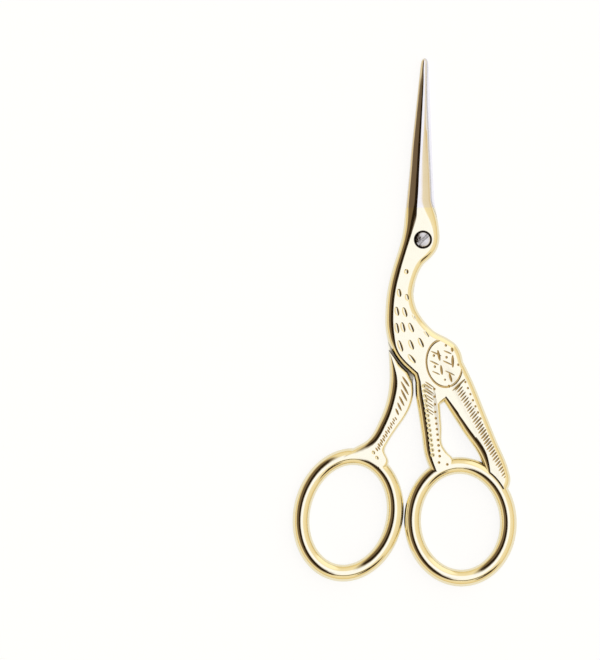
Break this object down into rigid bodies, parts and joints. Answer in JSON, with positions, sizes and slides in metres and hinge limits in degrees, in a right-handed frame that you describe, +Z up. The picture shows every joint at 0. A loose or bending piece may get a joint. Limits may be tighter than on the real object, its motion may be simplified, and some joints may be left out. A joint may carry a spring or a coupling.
{
  "type": "embroidery scissors",
  "caption": "Small embroidery scissors shaped as a standing stork: the long beak is the blades, the eye is the pivot screw, and the legs and tail end in two finger rings.",
  "frame": {"origin": "centre of the bounding box's footprint, on the surface that the closed scissors lie on", "axes": "+Y to the blade tip, +X towards the front half's finger ring, +Z up out of the front face"},
  "size_m": [0.053, 0.1246, 0.0043],
  "materials": {
    "gold_plate": "polished gold plating, with the blades left in bright nickel",
    "steel": "turned and polished"
  },
  "bodies": {
    "rear": {"rear_half": "gold_plate", "pivot_screw": "steel"},
    "front": {"front_half": "gold_plate"}
  },
  "joints": [
    {"name": "pivot", "type": "hinge", "parent": "rear", "child": "front", "pos_m": [0.00432, 0.01954, 0.0021], "axis": [0, 0, 1], "range_deg": [0, 60]}
  ]
}
